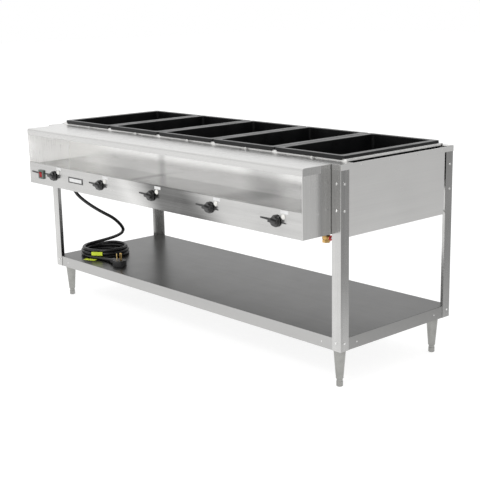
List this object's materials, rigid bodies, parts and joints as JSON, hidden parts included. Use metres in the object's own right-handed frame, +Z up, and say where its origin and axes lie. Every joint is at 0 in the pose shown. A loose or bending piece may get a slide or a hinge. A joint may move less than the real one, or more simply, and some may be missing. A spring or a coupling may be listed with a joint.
{
  "type": "steam table",
  "caption": "Electric steam table with a row of open wells, a front plate rest and dish recess, a control panel, an undershelf and adjustable feet.",
  "frame": {"origin": "on the floor at the centre of the footprint, taken over the knobs at the front and the bolt heads at the rear", "axes": "+X to the right as seen from the control panel, -Y towards the operator who works the controls, +Z up"},
  "size_m": [1.936, 0.833, 0.8795],
  "materials": {
    "stainless": "brushed",
    "deck_steel": "brushed",
    "plate_rest_steel": "brushed",
    "shelf_steel": "brushed",
    "stiffener_steel": "brushed",
    "fastener_steel": "polished",
    "foot_steel": "satin",
    "inner_steel": "mill",
    "element_steel": "matte",
    "well_black": "satin",
    "knob_black": "satin",
    "switch_black": "matte",
    "strip_black": "satin",
    "lamp_lens": "gloss",
    "label_film": "satin",
    "bezel_plastic": "satin",
    "rocker_red": "gloss",
    "terminal_plastic": "matte",
    "brass": "satin",
    "pipe_steel": "satin",
    "lever_red": "satin",
    "ball_chrome": "polished",
    "cord_black": "satin",
    "plug_black": "matte",
    "blade_brass": "polished",
    "tag_yellow": "matte"
  },
  "bodies": {
    "table": {"leg_fl": "stainless", "leg_fr": "stainless", "leg_rl": "stainless", "leg_rr": "stainless", "foot_sleeves": "foot_steel", "foot_gussets": "stiffener_steel", "undershelf": "shelf_steel", "shelf_stiffeners": "stiffener_steel", "frame_bolts": "fastener_steel", "side_panel_left": "stainless", "side_panel_right": "stainless", "panel_rivets": "fastener_steel", "rear_panel": "stainless", "top_deck": "deck_steel", "well_1": "well_black", "well_2": "well_black", "well_3": "well_black", "well_4": "well_black", "well_5": "well_black", "well_clips": "fastener_steel", "element_pans": "inner_steel", "heating_elements": "element_steel", "plate_rest": "plate_rest_steel", "recess_liner": "stainless", "control_panel": "stainless", "housing_end_left": "stainless", "housing_end_right": "stainless", "housing_bottom": "stainless", "control_switches": "switch_black", "dial_strips": "strip_black", "indicator_lamps": "lamp_lens", "label_plates": "label_film", "power_bezel": "bezel_plastic", "terminal_block": "terminal_plastic", "drain_fittings": "brass", "drain_manifold": "pipe_steel", "drain_valve_body": "brass", "cord_gland": "switch_black", "power_cord": "cord_black", "cord_coil": "cord_black", "plug_body": "plug_black", "plug_blades": "blade_brass", "cord_tags": "tag_yellow"},
    "heat_control_1": {"knob_1": "knob_black", "control_shaft_1": "fastener_steel"},
    "heat_control_2": {"knob_2": "knob_black", "control_shaft_2": "fastener_steel"},
    "heat_control_3": {"knob_3": "knob_black", "control_shaft_3": "fastener_steel"},
    "heat_control_4": {"knob_4": "knob_black", "control_shaft_4": "fastener_steel"},
    "heat_control_5": {"knob_5": "knob_black", "control_shaft_5": "fastener_steel"},
    "power_switch": {"power_rocker": "rocker_red"},
    "drain_handle": {"drain_stem": "ball_chrome", "drain_lever": "lever_red"},
    "foot_fl": {"foot_insert_fl": "foot_steel"},
    "foot_fr": {"foot_insert_fr": "foot_steel"},
    "foot_rl": {"foot_insert_rl": "foot_steel"},
    "foot_rr": {"foot_insert_rr": "foot_steel"}
  },
  "joints": [
    {"name": "heat_control_1_turn", "type": "hinge", "parent": "table", "child": "heat_control_1", "pos_m": [-0.705, -0.3905, 0.653], "axis": [0, 1, 0], "range_deg": [0, 320]},
    {"name": "heat_control_2_turn", "type": "hinge", "parent": "table", "child": "heat_control_2", "pos_m": [-0.3325, -0.3905, 0.653], "axis": [0, 1, 0], "range_deg": [0, 320]},
    {"name": "heat_control_3_turn", "type": "hinge", "parent": "table", "child": "heat_control_3", "pos_m": [0.04, -0.3905, 0.653], "axis": [0, 1, 0], "range_deg": [0, 320]},
    {"name": "heat_control_4_turn", "type": "hinge", "parent": "table", "child": "heat_control_4", "pos_m": [0.4125, -0.3905, 0.653], "axis": [0, 1, 0], "range_deg": [0, 320]},
    {"name": "heat_control_5_turn", "type": "hinge", "parent": "table", "child": "heat_control_5", "pos_m": [0.785, -0.3905, 0.653], "axis": [0, 1, 0], "range_deg": [0, 320]},
    {"name": "power_switch_rock", "type": "hinge", "parent": "table", "child": "power_switch", "pos_m": [-0.812, -0.3945, 0.649], "axis": [-1, 0, 0], "range_deg": [0, 18]},
    {"name": "drain_handle_turn", "type": "hinge", "parent": "table", "child": "drain_handle", "pos_m": [0.772, -0.1135, 0.544], "axis": [-1, 0, 0], "range_deg": [0, 90]},
    {"name": "foot_fl_screw", "type": "slide", "parent": "table", "child": "foot_fl", "axis": [0, 0, -1], "range_m": [0, 0.025]},
    {"name": "foot_fr_screw", "type": "slide", "parent": "table", "child": "foot_fr", "axis": [0, 0, -1], "range_m": [0, 0.025]},
    {"name": "foot_rl_screw", "type": "slide", "parent": "table", "child": "foot_rl", "axis": [0, 0, -1], "range_m": [0, 0.025]},
    {"name": "foot_rr_screw", "type": "slide", "parent": "table", "child": "foot_rr", "axis": [0, 0, -1], "range_m": [0, 0.025]}
  ]
}
